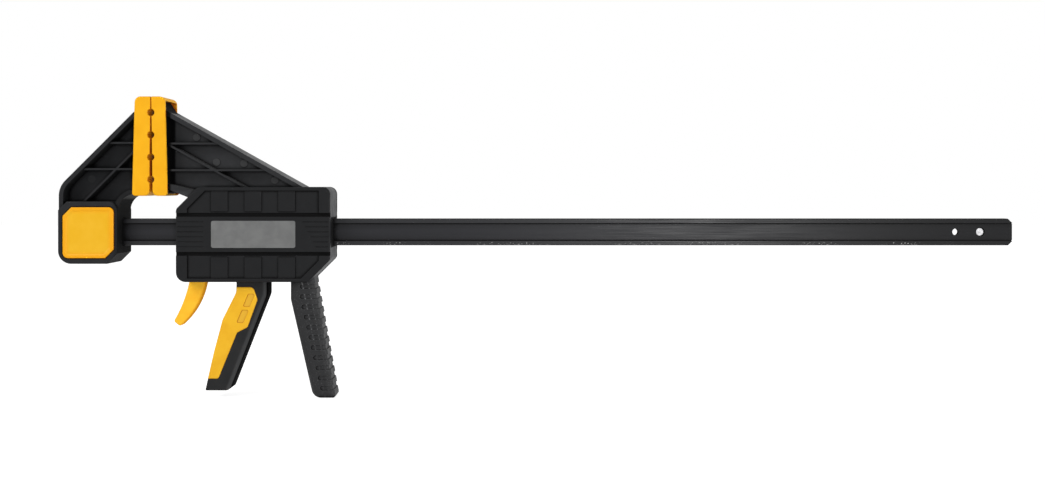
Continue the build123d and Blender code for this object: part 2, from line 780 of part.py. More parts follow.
with BuildPart() as head_frame:
    # Arm with its head plate
    with BuildSketch(Plane.XZ):
        Polygon(
            (pad_front, plate_foot),
            (plate_back, plate_foot),
            (plate_back, arm_line(plate_back, arm_lower_top) - arm_thick),
            (housing_left + housing_chamfer, arm_line(housing_left + housing_chamfer, arm_lower_top)),
            (housing_left + housing_chamfer, frame_top),
            (plate_back + (arm_slope_top - frame_top) / arm_fall, frame_top),
            (plate_back, arm_slope_top),
            (pad_front + plate_tip, plate_top),
            (pad_front, plate_top),
            align=None,
        )
    extrude(amount=jaw_half, both=True)
    for side in (1, -1):
        for depth, cut, ribbed in ((rib_half, rib_drop, False), (jaw_web / 2, rib_half - jaw_web / 2, True)):
            with BuildSketch(Plane.XZ.offset(side * depth)):
                Polygon(
                    (plate_back, arm_slope_top - arm_thick),
                    (arm_end, arm_line(arm_end, arm_slope_top - arm_thick)),
                    (arm_end, frame_top - frame_wall),
                    (housing_left + housing_chamfer, frame_top - frame_wall),
                    (plate_back, arm_lower_top),
                    align=None,
                )
                if ribbed:
                    with BuildSketch(mode=Mode.SUBTRACT):
                        with Locations(*[(arm_end / 2, z) for z in arm_rib_heights]):
                            Rectangle(2 * arm_end, jaw_rib)
                        with Locations(Location((plate_back, arm_rib_heights[0]), -arm_slope)):
                            Rectangle(2 * arm_end, jaw_rib)
            extrude(amount=side * cut, mode=Mode.SUBTRACT)
    # Faint round ejector marks on the front of the web
    with BuildSketch(Plane.XZ.offset(jaw_web / 2)):
        with Locations(*arm_marks):
            Circle(mark_radius)
    extrude(amount=mark_height)
    # Housing ring, open to both covers
    with BuildSketch(Plane.XZ):
        housing_outline(cover_overhang)
    extrude(amount=jaw_half, both=True)
    with BuildSketch(Plane.XZ):
        housing_outline(cover_overhang + frame_wall)
    extrude(amount=jaw_half, both=True, mode=Mode.SUBTRACT)
    # Fixed handle
    add(handle_body(0).part)
    add(handle_grooves.part, mode=Mode.SUBTRACT)
    # Guides that the bar slides through, in both end walls
    for x, length in ((frame_left, guide_front), (frame_right - guide_rear, guide_rear)):
        with BuildSketch(Plane.YZ.offset(x)):
            Rectangle(jaw_width, 2 * (bar_half + run_gap + guide_wall))
        extrude(amount=length)
    with BuildSketch(Plane.YZ.offset(housing_left)):
        bar_profile(run_gap)
    extrude(amount=housing_length, mode=Mode.SUBTRACT)
    # Bosses for the cover screws
    with BuildSketch(Plane.XZ):
        with Locations(*boss_places):
            Circle(boss_radius)
    extrude(amount=jaw_half, both=True)
    with BuildSketch(Plane.XZ):
        with Locations(*boss_places):
            Circle(screw_radius + 2 * fit_gap)
    extrude(amount=jaw_half, both=True, mode=Mode.SUBTRACT)
    # Seat of the brake spring, on the bottom wall
    with BuildSketch(Plane.XZ):
        with Locations((spring_seat_x + spring_rib / 2, (frame_bottom + spring_rib_top) / 2)):
            Rectangle(spring_rib, spring_rib_top - frame_bottom)
    extrude(amount=spring_rib_half, both=True)
    # Notch under the top wall that the brake plate's upper end swings in
    notch_bottom = brake_z - notch_depth
    notch_z = (notch_bottom + frame_top) / 2
    with BuildSketch(Plane.XZ):
        with Locations((notch_left - notch_rib / 2, notch_z), (notch_right + notch_rib / 2, notch_z)):
            Rectangle(notch_rib, frame_top - notch_bottom)
    extrude(amount=plate_half_width, both=True)
    # Slots in the bottom wall for the trigger and the lever
    slots = (
        (trigger_left - 2 * run_gap, trigger_right + trigger_sweep + 2 * run_gap, trigger_width),
        (lever_left - 2 * run_gap, lever_right + lever_sweep + 2 * run_gap, lever_width),
    )
    for left, right, width in slots:
        with BuildSketch(Plane.XY.offset(frame_bottom + frame_wall + fit_gap)):
            with Locations(((left + right) / 2, 0)):
                Rectangle(right - left, width + 4 * run_gap)
        extrude(amount=-frame_wall - 2 * fit_gap, mode=Mode.SUBTRACT)
save(head_frame, "head_frame")

# ------------------------------------------------------------------ moving head: covers

panel_left = housing_left + panel_inset
panel_right = housing_right - panel_inset
field_x = (panel_left + panel_right) / 2


def panels():
    """The recessed panels above and below the band, on the open XZ sketch."""
    top = housing_top - panel_margin
    bottom = housing_bottom + panel_margin
    upper = band_middle + band_half + groove_width
    lower = band_middle - band_half - groove_width
    Polygon(
        (panel_left, upper),
        (panel_right, upper),
        (panel_right, top),
        (panel_left + panel_cut, top),
        (panel_left, top - panel_cut),
        align=None,
    )
    Polygon(
        (panel_left, lower),
        (panel_right, lower),
        (panel_right, bottom + panel_cut),
        (panel_right - panel_cut, bottom),
        (panel_left, bottom),
        align=None,
    )


def cover(labelled, screwed):
    """A cover shell in front of the frame, with its relief, bosses and screw holes."""
    with BuildPart() as shell:
        with BuildSketch(Plane.XZ.offset(jaw_half)):
            housing_outline(0)
        extrude(amount=cover_thick)
        fillet(faces().sort_by(Axis.Y)[0].edges(), cover_edge)
        with BuildSketch(Plane.XZ.offset(jaw_half)):
            housing_outline(cover_overhang + frame_wall)
        extrude(amount=cover_thick - cover_wall, mode=Mode.SUBTRACT)
        # Panels with alternate fields standing a little higher
        with BuildSketch(Plane.XZ.offset(cover_face - panel_depth)):
            panels()
        extrude(amount=panel_depth, mode=Mode.SUBTRACT)
        with BuildSketch(Plane.XZ.offset(cover_face - panel_depth)):
            panels()
            inner_edge = band_half + groove_width + field_notch
            with BuildSketch(mode=Mode.INTERSECT):
                for i in range(1, field_count - 1, 2):
                    x = field_x + (i - (field_count - 1) / 2) * field_pitch
                    for side in (-1, 1):
                        with Locations((x, band_middle + side * (inner_edge + housing_length / 2))):
                            Rectangle(field_pitch, housing_length)
        extrude(amount=panel_step)
        # Grooves that bound the band, and the fine lines at its ends
        with BuildSketch(Plane.XZ.offset(cover_face - groove_depth)):
            for side in (-1, 1):
                z = band_middle + side * (band_half + groove_width / 2)
                with Locations((field_x, z)):
                    Rectangle(2 * housing_length, groove_width)
        extrude(amount=groove_depth, mode=Mode.SUBTRACT)
        with BuildSketch(Plane.XZ.offset(cover_face - line_depth)):
            for i in range(line_count):
                z = band_middle + (i - (line_count - 1) / 2) * line_pitch
                right_length = line_length - line_lean * (line_count - 1 - i) / (line_count - 1)
                with Locations((housing_left + line_inset + line_length / 2, z)):
                    Rectangle(line_length, line_width)
                with Locations((housing_right - line_inset - right_length / 2, z)):
                    Rectangle(right_length, line_width)
        extrude(amount=line_depth, mode=Mode.SUBTRACT)
        if labelled:
            with BuildSketch(Plane.XZ.offset(cover_face - label_thick)):
                label_outline(fit_gap)
            extrude(amount=label_thick, mode=Mode.SUBTRACT)
        # Seat for the lever's pivot pin
        with BuildSketch(Plane.XZ.offset(cheek_outer + run_gap)):
            with Locations((pivot_x, pivot_z)):
                Circle(pivot_seat_radius)
        extrude(amount=cover_face - cover_wall - cheek_outer)
        with BuildSketch(Plane.XZ.offset(cheek_outer)):
            with Locations((pivot_x, pivot_z)):
                Circle(pivot_radius + fit_gap)
        extrude(amount=pin_end + fit_gap - cheek_outer, mode=Mode.SUBTRACT)
        # Bosses and holes for the cover screws
        with BuildSketch(Plane.XZ.offset(jaw_half)):
            with Locations(*boss_places):
                Circle(boss_radius)
        extrude(amount=cover_thick - groove_depth - fit_gap)
        with BuildSketch(Plane.XZ.offset(jaw_half)):
            with Locations(*boss_places):
                Circle(screw_radius + fit_gap)
        extrude(amount=cover_thick if screwed else screw_tip + fit_gap - jaw_half, mode=Mode.SUBTRACT)
        if screwed:
            with BuildSketch(Plane.XZ.offset(screw_seat)):
                with Locations(*boss_places):
                    Circle(screw_head_radius + 2 * fit_gap)
            extrude(amount=cover_thick, mode=Mode.SUBTRACT)
    return shell


def label_outline(grow):
    """The label plate's outline on the open XZ sketch."""
    with Locations((housing_left + label_left + label_length / 2, band_middle)):
        RectangleRounded(label_length + 2 * grow, label_height + 2 * grow, label_round + grow)


front_cover = cover(labelled=True, screwed=False)
save(front_cover, "front_cover")

with BuildPart() as rear_cover:
    add(mirror(cover(labelled=False, screwed=True).part, about=Plane.XZ))
save(rear_cover, "rear_cover")

with BuildPart() as label_plate:
    with BuildSketch(Plane.XZ.offset(cover_face - label_thick)):
        label_outline(0)
    extrude(amount=label_thick - fit_gap)
save(label_plate, "label_plate")

cover_screws = screws(boss_places, screw_seat, screw_seat + screw_tip)
save(cover_screws, "cover_screws")

# ------------------------------------------------------------------ squeeze lever

with BuildPart() as lever_pivot_pin:
    with BuildSketch(Plane.XZ):
        with Locations((pivot_x, pivot_z)):
            Circle(pivot_radius)
    extrude(amount=pin_end, both=True)
    chamfer(edges().filter_by(GeomType.CIRCLE), pin_chamfer)
save(lever_pivot_pin, "lever_pivot_pin")


def lever_blade(inset):
    """The lever's outline below the housing, on the open XZ sketch, drawn in by an inset."""
    Polygon(
        (lever_left, lever_shoulder),
        (lever_left, lever_front_knee),
        lever_waist,
        lever_belly,
        (lever_foot_left, lever_foot),
        (lever_foot_right, lever_foot),
        (lever_right, lever_back_knee),
        (lever_right, lever_shoulder),
        align=None,
    )
    fillet(corner(lever_left, lever_front_knee), lever_knee_round)
    fillet(corner(*lever_waist), lever_waist_round)
    fillet(corner(lever_foot_right, lever_foot), lever_foot_round)
    fillet(corner(lever_foot_left, lever_foot), lever_edge)
    fillet(corner(lever_right, lever_back_knee), lever_waist_round)
    if inset:
        offset(amount=-inset, mode=Mode.REPLACE)


def soft_back():
    """A block that holds the lever below the housing, with its two long back edges well rounded."""
    with BuildPart() as block:
        with BuildSketch(Plane.XZ):
            Polygon(
                (0, lever_shoulder),
                (0, lever_foot),
                (lever_foot_right, lever_foot),
                (lever_right, lever_back_knee),
                (lever_right, lever_shoulder),
                align=None,
            )
            fillet(corner(lever_right, lever_back_knee), lever_waist_round)
        extrude(amount=lever_width / 2, both=True)
        sides = edges().filter_by(lambda e: abs(abs(e.center().Y) - lever_width / 2) < fit_gap)
        fillet(sides.filter_by(lambda e: e.center().X > lever_foot_right), lever_back_edge)
    return block


def grip_zone(grow):
    """The zone that the soft grip covers, on the open XZ sketch."""
    Polygon(
        (lever_foot_left - lever_width, grip_top + grow),
        (grip_points[0][0] + grow, grip_top + grow),
        *[(x + grow, z) for x, z in grip_points[1:-1]],
        (grip_points[-1][0] + grow, grip_foot - grow),
        (lever_foot_left - lever_width, grip_foot - grow),
        align=None,
    )
    shoulder, *others, foot = grip_points
    fillet(corner(shoulder[0] + grow, grip_top), grip_shoulder)
    fillet([corner(x + grow, z) for x, z in others] + [corner(foot[0] + grow, grip_foot)], grip_round)


with BuildPart() as squeeze_lever:
    with BuildSketch(Plane.XZ):
        lever_blade(0)
    extrude(amount=lever_width / 2, both=True)
    fillet(edges().filter_by(lambda e: abs(abs(e.center().Y) - lever_width / 2) < fit_gap), lever_edge)
    add(soft_back().part, mode=Mode.INTERSECT)
    # Cut back for the grip, but for the rib that it is moulded round
    with BuildSketch(Plane.XZ):
        grip_zone(fit_gap)
    extrude(amount=lever_width, both=True, mode=Mode.SUBTRACT)
    with BuildSketch(Plane.XZ):
        lever_blade(grip_skin + fit_gap)
    extrude(amount=lever_width / 2 - grip_skin, both=True)
    # Fork that straddles the bar, with the nose that pushes the drive plates
    with BuildSketch(Plane.XZ):
        Polygon(
            (lever_left, lever_shoulder),
            (lever_right, lever_shoulder),
            (fork_right, fork_floor),
            (pivot_x + nose_ahead, pivot_z - nose_drop - nose_radius),
            (pivot_x + nose_ahead, pivot_z - nose_drop + nose_radius),
            (pivot_x + pivot_boss / 2, pivot_z),
            (pivot_x - pivot_boss, pivot_z),
            align=None,
        )
        with Locations((pivot_x, pivot_z)):
            Circle(pivot_boss)
        with Locations((pivot_x + nose_ahead, pivot_z - nose_drop)):
            Circle(nose_radius)
    extrude(amount=cheek_outer, both=True)
    with BuildSketch(Plane.YZ.offset(lever_left - pivot_boss)):
        with Locations((0, (fork_floor + frame_top) / 2)):
            Rectangle(2 * (side_half + cheek_gap), frame_top - fork_floor)
    extrude(amount=2 * lever_width + 2 * pivot_boss, mode=Mode.SUBTRACT)
    with BuildSketch(Plane.XZ):
        with Locations((pivot_x + nose_ahead, pivot_z - nose_drop)):
            Circle(nose_radius)
    extrude(amount=cheek_outer, both=True)
    with BuildSketch(Plane.XZ):
        with Locations((pivot_x, pivot_z)):
            Circle(pivot_radius + pin_gap)
    extrude(amount=lever_width, both=True, mode=Mode.SUBTRACT)
save(squeeze_lever, "squeeze_lever")

with BuildPart() as lever_grip:
    with BuildSketch(Plane.XZ):
        lever_blade(0)
        with BuildSketch(mode=Mode.INTERSECT):
            grip_zone(0)
    extrude(amount=grip_width / 2, both=True)
    fillet(edges().filter_by(lambda e: abs(abs(e.center().Y) - grip_width / 2) < fit_gap), lever_edge)
    with BuildSketch(Plane.XZ):
        lever_blade(grip_skin)
    extrude(amount=lever_width / 2 - grip_skin + fit_gap, both=True, mode=Mode.SUBTRACT)
    for side in (1, -1):
        with BuildSketch(Plane.XZ.offset(side * grip_width / 2)):
            with Locations(*[Location(place, dimple_turn) for place in dimple_places]):
                Polygon(
                    (dimple_lean - dimple_length / 2, -dimple_width / 2),
                    (dimple_lean + dimple_length / 2, -dimple_width / 2),
                    (dimple_length / 2 - dimple_lean, dimple_width / 2),
                    (-dimple_length / 2 - dimple_lean, dimple_width / 2),
                    align=None,
                )
            fillet(vertices(), dimple_round)
        extrude(amount=-side * dimple_depth, mode=Mode.SUBTRACT)
save(lever_grip, "lever_grip")

# ------------------------------------------------------------------ drive plates and spring

drive_front = pivot_x + nose_ahead + nose_radius + run_gap
drive_back = drive_front + plate_count * (plate_thick + fit_gap) - fit_gap

with BuildPart() as drive_plates:
    for i in range(plate_count):
        with BuildSketch(Plane.YZ.offset(drive_front + i * (plate_thick + fit_gap))):
            with Locations((0, (plate_height_up - plate_height_down) / 2)):
                Rectangle(bar_width + 2 * (plate_gap + plate_side), plate_height_up + plate_height_down)
            chamfer(vertices(), plate_thick)
            Rectangle(bar_width + 2 * plate_gap, bar_height + 2 * plate_gap, mode=Mode.SUBTRACT)
        extrude(amount=plate_thick)
save(drive_plates, "drive_plates")

drive_coil_radius = (bar_half ** 2 + side_half ** 2) ** 0.5 + run_gap + drive_wire / 2
drive_spring = coil(
    Vector(drive_back, 0, 0),
    Vector(1, 0, 0),
    drive_coil_radius,
    drive_wire,
    drive_turns,
    frame_right - guide_rear - drive_back,
)
save(drive_spring, "drive_spring")

# ------------------------------------------------------------------ release trigger

tilt = radians(brake_tilt)
brake_plane = Plane(origin=(brake_x, 0, brake_z), x_dir=(0, 1, 0), z_dir=(cos(tilt), 0, -sin(tilt)))
hole_drop = brake_z / cos(tilt / 2)
hole_half = bar_half + brake_hole_spare
yoke_end = hole_drop + hole_half + brake_side

with BuildPart() as brake_plate:
    with BuildSketch(brake_plane.offset(-brake_thick / 2)):
        with Locations((0, -yoke_end / 2)):
            Rectangle(2 * plate_half_width, yoke_end)
        with Locations((0, -brake_tail_end / 2)):
            Rectangle(brake_tail_width, brake_tail_end)
        with Locations((0, -hole_drop)):
            Rectangle(bar_width + 2 * brake_hole_spare, 2 * hole_half, mode=Mode.SUBTRACT)
    extrude(amount=brake_thick)
    with BuildSketch(Plane.XZ):
        with Locations((brake_x, brake_z)):
            Circle(brake_thick / 2)
    extrude(amount=plate_half_width, both=True)
save(brake_plate, "brake_plate")

with BuildPart() as release_trigger:
    with BuildSketch(Plane.XZ):
        with BuildLine():
            root_rise = trigger_top - housing_bottom
            left_top = (trigger_left + root_rise * tan(tilt), trigger_top)
            right_top = (trigger_right + root_rise * tan(tilt), trigger_top)
            Line((trigger_left, housing_bottom), left_top)
            Line(left_top, right_top)
            Line(right_top, (trigger_right, housing_bottom))
            ThreePointArc((trigger_right, housing_bottom), trigger_back, trigger_tip_back)
            Line(trigger_tip_back, trigger_tip_front)
            ThreePointArc(trigger_tip_front, trigger_front, (trigger_left, housing_bottom))
        make_face()
        fillet(corner(*trigger_tip_back), trigger_tip_round)
        fillet(corner(*trigger_tip_front), trigger_tip_round)
    extrude(amount=trigger_width / 2, both=True)
    fillet(edges().filter_by(lambda e: abs(abs(e.center().Y) - trigger_width / 2) < fit_gap), trigger_edge)
    with BuildSketch(brake_plane.offset(-brake_thick / 2 - fit_gap)):
        with Locations((0, -brake_tail_end / 2 - fit_gap)):
            Rectangle(brake_tail_width + 2 * fit_gap, brake_tail_end)
    extrude(amount=brake_thick + 2 * fit_gap, mode=Mode.SUBTRACT)
save(release_trigger, "release_trigger")

brake_spring = coil(
    Vector(brake_spring_x, 0, -brake_coil_drop),
    Vector(1, 0, 0),
    brake_coil_radius,
    brake_wire,
    brake_coil_turns,
    spring_seat_x - brake_spring_x,
)
save(brake_spring, "brake_spring")
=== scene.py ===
import math

import bpy
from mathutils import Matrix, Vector


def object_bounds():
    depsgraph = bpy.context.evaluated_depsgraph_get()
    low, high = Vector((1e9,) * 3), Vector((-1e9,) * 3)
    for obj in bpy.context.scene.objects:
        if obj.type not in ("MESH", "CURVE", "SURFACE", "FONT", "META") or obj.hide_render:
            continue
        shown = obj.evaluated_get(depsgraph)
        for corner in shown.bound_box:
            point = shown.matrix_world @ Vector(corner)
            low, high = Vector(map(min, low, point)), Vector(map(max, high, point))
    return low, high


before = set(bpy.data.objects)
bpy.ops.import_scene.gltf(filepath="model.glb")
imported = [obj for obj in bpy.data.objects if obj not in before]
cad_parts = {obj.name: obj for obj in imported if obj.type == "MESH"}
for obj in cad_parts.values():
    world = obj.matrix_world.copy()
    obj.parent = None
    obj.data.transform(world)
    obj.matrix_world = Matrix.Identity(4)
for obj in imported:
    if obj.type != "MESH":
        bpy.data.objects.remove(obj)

# The finish of a quick release bar clamp, its light and its camera. Lengths are in metres, in the
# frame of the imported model: +X along the bar, +Z up to the jaw tips, +Y away from the camera.

MM = 0.001
cad_low, cad_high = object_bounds()

# ------------------------------------------------------------------ view and light

image_width = 1045
image_height = 495
sensor = 36.0
camera_place = Vector((0.322, -0.950, 0.044))
view_width = 0.9823            # seen across the picture in the plane of the bar
axis_pixel = (500, 185)        # where the lens axis meets the picture

wall_white = 1.0
world_strength = 0.32
floor_drop = 0.0005            # below the clamp's lowest point
floor_size = 8.0
floor_glow = 0.80
floor_shade = 0.78

# name, place, what it faces, size, watts
lamps = (
    ("left_softbox", (-1.05, -1.00, 0.95), (0.10, 0.0, 0.0), (0.9, 0.9), 18.6),
    ("right_softbox", (3.00, -0.50, 0.34), (0.15, 0.0, 0.0), (1.0, 1.0), 41.0),
    ("bar_strip", (0.85, -1.75, -0.03), (0.52, 0.0, 0.0), (0.20, 0.20), 10.5),
)

# ------------------------------------------------------------------ finishes, as linear colours

frame_black = (0.0320, 0.0327, 0.0350, 1)
frame_dark = (0.0280, 0.0287, 0.0305, 1)
# Painted highlight on the frame's upward faces
frame_top_highlight = (0.0580, 0.0585, 0.0600, 1)
frame_mark = (0.0480, 0.0485, 0.0500, 1)
handle_grey = (0.0225, 0.0228, 0.0238, 1)
handle_pale = (0.0560, 0.0565, 0.0585, 1)
# Painted highlight on the handle's edges and groove ends
handle_edge_highlight = (0.115, 0.116, 0.120, 1)
handle_glint = (0.190, 0.192, 0.198, 1)
jaw_black = (0.0215, 0.0220, 0.0236, 1)
jaw_dark = (0.0185, 0.0190, 0.0204, 1)
# Painted shade on the fixed jaw's sides and neck
jaw_side_shade = (0.0075, 0.0078, 0.0080, 1)
jaw_mark = (0.0290, 0.0296, 0.0310, 1)
cover_black = (0.0084, 0.0087, 0.0095, 1)
cover_dark = (0.0069, 0.0072, 0.0080, 1)
lever_black = (0.0240, 0.0245, 0.0252, 1)
lever_dark = (0.0205, 0.0210, 0.0216, 1)
# Painted highlight on the lever's rounded back edges
lever_edge_highlight = (0.0520, 0.0528, 0.0540, 1)
plastic_worn = (0.034, 0.034, 0.036, 1)
plastic_shadow = (0.0010, 0.0010, 0.0011, 1)
bar_black = (0.0130, 0.0131, 0.0152, 1)
bar_streaked = (0.0180, 0.0182, 0.0212, 1)
bar_flange = (0.0220, 0.0222, 0.0245, 1)
bar_scuffed = (0.42, 0.42, 0.41, 1)
pad_yellow = (0.860, 0.425, 0.006, 1)
pad_deep = (0.825, 0.385, 0.003, 1)
# Painted shade along the pads' edges
pad_edge_shade = (0.640, 0.200, 0.002, 1)
pad_worn = (0.99, 0.55, 0.03, 1)
button_yellow = (0.775, 0.410, 0.008, 1)
button_pale = (0.800, 0.440, 0.016, 1)
# Painted shade towards the button's rim
button_rim_shade = (0.850, 0.365, 0.002, 1)
button_worn = (0.97, 0.58, 0.05, 1)
trigger_yellow = (0.97, 0.535, 0.032, 1)
trigger_deep = (0.96, 0.475, 0.022, 1)
# Painted shade on the trigger's back
trigger_back_shade = (0.97, 0.470, 0.020, 1)
trigger_worn = (0.98, 0.58, 0.05, 1)
grip_yellow = (0.86, 0.480, 0.020, 1)
grip_deep = (0.80, 0.415, 0.014, 1)
grip_dimple = (0.760, 0.420, 0.030, 1)
grip_worn = (0.88, 0.54, 0.03, 1)
orange_shadow = (0.46, 0.105, 0.001, 1)
label_grey = (0.112, 0.114, 0.113, 1)
label_pale = (0.146, 0.148, 0.147, 1)
zinc_bright = (0.62, 0.62, 0.63, 1)
zinc_dull = (0.44, 0.44, 0.45, 1)
spring_dark = (0.20, 0.19, 0.18, 1)
spring_oiled = (0.11, 0.105, 0.10, 1)

# ------------------------------------------------------------------ where a finish changes

# A pair gives the place where a change starts and the place where it is full.

# The frame's handle. Its grooves begin where X + lean * Z has one value.
handle_begins = (-0.0445, -0.0475)
handle_lean = 0.202
groove_ends = 0.1293
groove_open = (0.55, 0.98)     # share of open air in a groove, and outside it
glint_step = 0.0055            # from a groove's first glint to its second
first_glint = (0.0009, 0.0004)
second_glint = (0.0008, 0.0003)
glint_fades = (-0.125, -0.085)

# The frame's arm and housing, with painted shade on the arm's brim, round the bar and behind the pad
brim_depth = (0.0125, 0.0145)
brim_height = (0.036, 0.040)
housing_end = (0.150, 0.155)
socket_height = (0.0150, 0.0135)
behind_pad = (0.0190, 0.0165)
above_throat = (0.034, 0.038)

# The fixed jaw's neck, between its web and its block, where shade is painted
neck_side = (-0.037, -0.032)
neck_top = (0.042, 0.034)

# Round ejector marks on the webs: their middles and the webs' front in millimetres
jaw_marks = ((-60.9, 49.6),)
arm_marks = ((37.4, 88.6), (56.1, 65.4), (81.9, 64.2), (110.8, 48.5))
mark_front = -2.4
mark_radius = (0.0037, 0.0034)

# The cover's band with its fine lines
line_floor = (0.0202, 0.0204)
band_middle = -0.0014
band_half = (0.0158, 0.0152)

# The button's painted shade at its rim, as a share of its width from the middle
rim_share = (0.34, 0.49)

# The grip's dimples: middles in millimetres, and the depth of their floors
dimples = ((88.9, -63.0), (83.0, -78.0))
dimple_radius = (0.0080, 0.0072)
dimple_floor = 0.0115
dimple_near = (0.00020, 0.00008)

# The bar, with painted shade in the corners beside its web and towards its right end
flange_height = (0.0082, 0.0090)
corner_height = (0.0070, 0.0082)
corner_depth = (0.0043, 0.0038)
brink_height = (-0.0090, -0.0105)
chips_begin = (0.15, 0.17)
bar_shade_along = (0.35, 0.75)

# How squarely a surface faces a way, from 0 to 1
facing_up = (0.35, 0.75)
facing_front = (0.6, 0.9)
socket_facing = (0.5, 0.8)
jaw_facing = (0.45, 0.8)
lever_edge_facing = (0.02, 0.5)
lever_back_facing = (0.70, 0.84)
trigger_facing = (0.25, 0.65)

# Levels of the noises and of turned normals
mottle_level = (0.3, 0.7)
fleck_level = (0.62, 0.74)
streak_level = (0.3, 0.7)
streak_patch_level = (0.35, 0.65)
chip_level = (0.60, 0.68)
chip_patch_level = (0.50, 0.60)
rub_level = (0.42, 0.66)
edge_turn = (0.995, 0.86)

# Noise scales, per metre
streak_patch_scale = 140.0
chip_scale = 650.0
chip_patch_scale = 16.0
fleck_share = 0.45             # of the grain's scale

# How strong a change is, from 0 to 1
handle_edge_highlight_share = 0.7
second_glint_share = 0.8
foot_glint_share = 0.25
brim_shade_share = 0.4
neck_shade_share = 0.65
pad_edge_shade_share = 0.5
line_share = 0.6
bar_shade_share = 0.7
least_brush = 0.5

# Roughness. A pair runs from the smoothest place to the roughest.
shaded_rough = 0.9
jaw_side_rough = 0.85
corner_rough = 0.8
rough_spread = 0.05            # to either side of a moulding's own roughness
bar_rough = (0.30, 0.44)
label_rough = (0.46, 0.56)

# ------------------------------------------------------------------ node tools


def put(tree, kind, inputs=(), **settings):
    """Add a node, give it its settings, and link or set the inputs that are named."""
    made = tree.nodes.new(kind)
    for name, value in settings.items():
        setattr(made, name, value)
    for name, value in dict(inputs).items():
        give(tree, made.inputs[name], value)
    return made


def give(tree, socket, value):
    """Link a socket to another one, or set it to a plain value."""
    if isinstance(value, bpy.types.NodeSocket):
        tree.links.new(value, socket)
    else:
        socket.default_value = value


def maths(tree, operation, first, second=0.0):
    """A Math node's result from two values or sockets."""
    return put(tree, "ShaderNodeMath", {0: first, 1: second}, operation=operation).outputs[0]


def both(tree, first, second):
    """The product of two masks: where the one and the other hold."""
    return maths(tree, "MULTIPLY", first, second)


def either(tree, first, second):
    """The greater of two masks: where the one or the other holds."""
    return maths(tree, "MAXIMUM", first, second)


def away_from(tree, value, middle=0.0):
    """How far a value lies from a middle, to either side."""
    return maths(tree, "ABSOLUTE", maths(tree, "SUBTRACT", value, middle))


def ramp(tree, value, low, high, start=0.0, end=1.0):
    """A value brought from low..high to start..end, with soft ends."""
    inputs = {"Value": value, "From Min": low, "From Max": high, "To Min": start, "To Max": end}
    return put(tree, "ShaderNodeMapRange", inputs, interpolation_type="SMOOTHSTEP").outputs["Result"]


def blend_colour(tree, share, first, second):
    """A colour between two, by a mask."""
    return put(tree, "ShaderNodeMix", {0: share, 6: first, 7: second}, data_type="RGBA").outputs[2]


def object_place(tree):
    """Where a point is on the piece, in metres, so that a finish rides with its body."""
    return put(tree, "ShaderNodeTexCoord").outputs["Object"]


def coordinates(tree, kind="Object"):
    """X, Y and Z of a point's place, of its direction with "Normal", or with "Generated" of its
    share of the piece's box."""
    found = put(tree, "ShaderNodeTexCoord").outputs[kind]
    return put(tree, "ShaderNodeSeparateXYZ", {"Vector": found}).outputs


def near_point(tree, place, point, radius):
    """1 within a radius of a point, and 0 outside it."""
    apart = put(tree, "ShaderNodeVectorMath", {0: place, 1: point}, operation="DISTANCE").outputs["Value"]
    return ramp(tree, apart, *radius)


def noise(tree, place, scale, detail=2.0, roughness=0.5):
    """A Noise texture's value at a scale per metre."""
    inputs = {"Vector": place, "Scale": scale, "Detail": detail, "Roughness": roughness}
    return put(tree, "ShaderNodeTexNoise", inputs).outputs[0]


def start_group(name, inputs, outputs):
    """A shader node group with named sockets; an input is a name with its starting value."""
    tree = bpy.data.node_groups.new(name, "ShaderNodeTree")
    for label, value in inputs.items():
        socket = tree.interface.new_socket(label, in_out="INPUT", socket_type="NodeSocketFloat")
        socket.default_value = value
    for label, kind in outputs.items():
        tree.interface.new_socket(label, in_out="OUTPUT", socket_type=kind)
    return tree, put(tree, "NodeGroupInput").outputs, put(tree, "NodeGroupOutput").inputs


def use_group(tree, group, **inputs):
    """A group's outputs inside a material, with its own values. Underscores stand for spaces."""
    values = {name.replace("_", " "): value for name, value in inputs.items()}
    made = put(tree, "ShaderNodeGroup", node_tree=group)
    for name, value in values.items():
        give(tree, made.inputs[name], value)
    return made.outputs


# ------------------------------------------------------------------ shared effects


def make_moulded_grain():
    """The fine pitted skin of a moulding, and the broad unevenness of its colour."""
    tree, given, result = start_group(
        "moulded grain",
        {"Grain mm": 0.5, "Mottle mm": 14.0},
        {"Height": "NodeSocketFloat", "Mottle": "NodeSocketFloat", "Fleck": "NodeSocketFloat"},
    )
    place = object_place(tree)
    grain_scale = maths(tree, "DIVIDE", 1 / MM, given["Grain mm"])
    mottle_scale = maths(tree, "DIVIDE", 1 / MM, given["Mottle mm"])
    flecks = noise(tree, place, maths(tree, "MULTIPLY", grain_scale, fleck_share), detail=1.0)
    give(tree, result["Height"], noise(tree, place, grain_scale, roughness=0.6))
    give(tree, result["Mottle"], ramp(tree, noise(tree, place, mottle_scale, detail=4.0), *mottle_level))
    give(tree, result["Fleck"], ramp(tree, flecks, *fleck_level))
    return tree


def make_soft_edges():
    """Edges rounded in the light, with a mask of where hands and benches have worn them."""
    tree, given, result = start_group(
        "soft edges",
        {"Radius mm": 0.4, "Patch mm": 9.0},
        {"Normal": "NodeSocketVector", "Edge": "NodeSocketFloat", "Rubbed": "NodeSocketFloat"},
    )
    radius = maths(tree, "MULTIPLY", given["Radius mm"], MM)
    rounded = put(tree, "ShaderNodeBevel", {"Radius": radius}, samples=6).outputs["Normal"]
    flat = put(tree, "ShaderNodeNewGeometry").outputs["Normal"]
    alike = put(tree, "ShaderNodeVectorMath", {0: rounded, 1: flat}, operation="DOT_PRODUCT")
    edge = ramp(tree, alike.outputs["Value"], *edge_turn)
    patch_scale = maths(tree, "DIVIDE", 1 / MM, given["Patch mm"])
    patches = noise(tree, object_place(tree), patch_scale, detail=5.0, roughness=0.65)
    give(tree, result["Normal"], rounded)
    give(tree, result["Edge"], edge)
    give(tree, result["Rubbed"], both(tree, edge, ramp(tree, patches, *rub_level)))
    return tree


